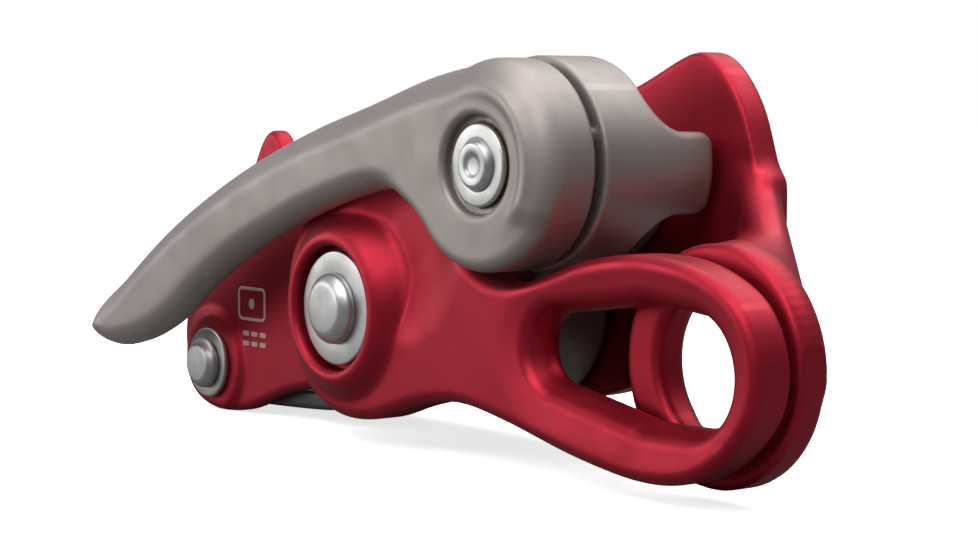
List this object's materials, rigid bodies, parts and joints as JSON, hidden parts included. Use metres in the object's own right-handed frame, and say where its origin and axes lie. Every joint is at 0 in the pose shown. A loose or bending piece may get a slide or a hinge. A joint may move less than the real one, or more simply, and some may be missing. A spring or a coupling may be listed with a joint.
{
  "type": "belay device",
  "caption": "Assisted-braking belay device with side plates, a pinching cam, a release handle and a swinging front plate.",
  "frame": {"origin": "centre of the round connector eye in the rear plate, halfway through its pad", "axes": "+X out past the connector eye, away from the handle's free end; +Y from the swinging front plate to the rear plate, along every pivot; +Z towards the top edge of the rope flange"},
  "size_m": [0.1258, 0.0319, 0.0463],
  "materials": {
    "red_anodised": "satin anodised aluminium",
    "warm_grey": "satin warm grey",
    "dark_grey": "satin dark grey",
    "steel": "turned satin",
    "hard_steel": "ground",
    "spring_steel": "drawn wire",
    "bronze": "plain bearing bronze"
  },
  "bodies": {
    "frame": {"rear_plate": "red_anodised", "front_cheek": "red_anodised", "friction_shoe": "dark_grey", "shoe_rivet": "steel", "shoe_rivet_washer": "steel", "shoe_dowel": "steel", "guide_post": "red_anodised", "guide_rivet": "steel", "main_axle": "steel", "main_washer": "steel", "rear_washer": "steel", "thrust_washer": "bronze", "wave_washer": "spring_steel", "cam_stop_pin": "steel", "cam_spring": "spring_steel"},
    "cam": {"cam": "warm_grey", "cam_bush": "bronze", "cam_insert": "hard_steel", "handle_pin": "steel", "handle_pin_washer": "steel", "handle_stop_pin": "steel", "handle_spring": "spring_steel"},
    "handle": {"handle": "warm_grey", "handle_bush": "bronze"},
    "swing_plate": {"front_plate": "red_anodised", "plate_bush": "bronze"}
  },
  "joints": [
    {"name": "cam_swing", "type": "hinge", "parent": "frame", "child": "cam", "pos_m": [-0.0565, 0, 0.0025], "axis": [0, 1, 0], "range_deg": [-20, 0], "stiffness_Nm_per_rad": 0.02},
    {"name": "handle_swing", "type": "hinge", "parent": "cam", "child": "handle", "pos_m": [-0.0263, 0, 0.02], "axis": [0, 1, 0], "range_deg": [0, 120], "stiffness_Nm_per_rad": 0.01},
    {"name": "plate_swing", "type": "hinge", "parent": "frame", "child": "swing_plate", "pos_m": [-0.0565, 0, 0.0025], "axis": [0, 1, 0], "range_deg": [0, 120]}
  ]
}
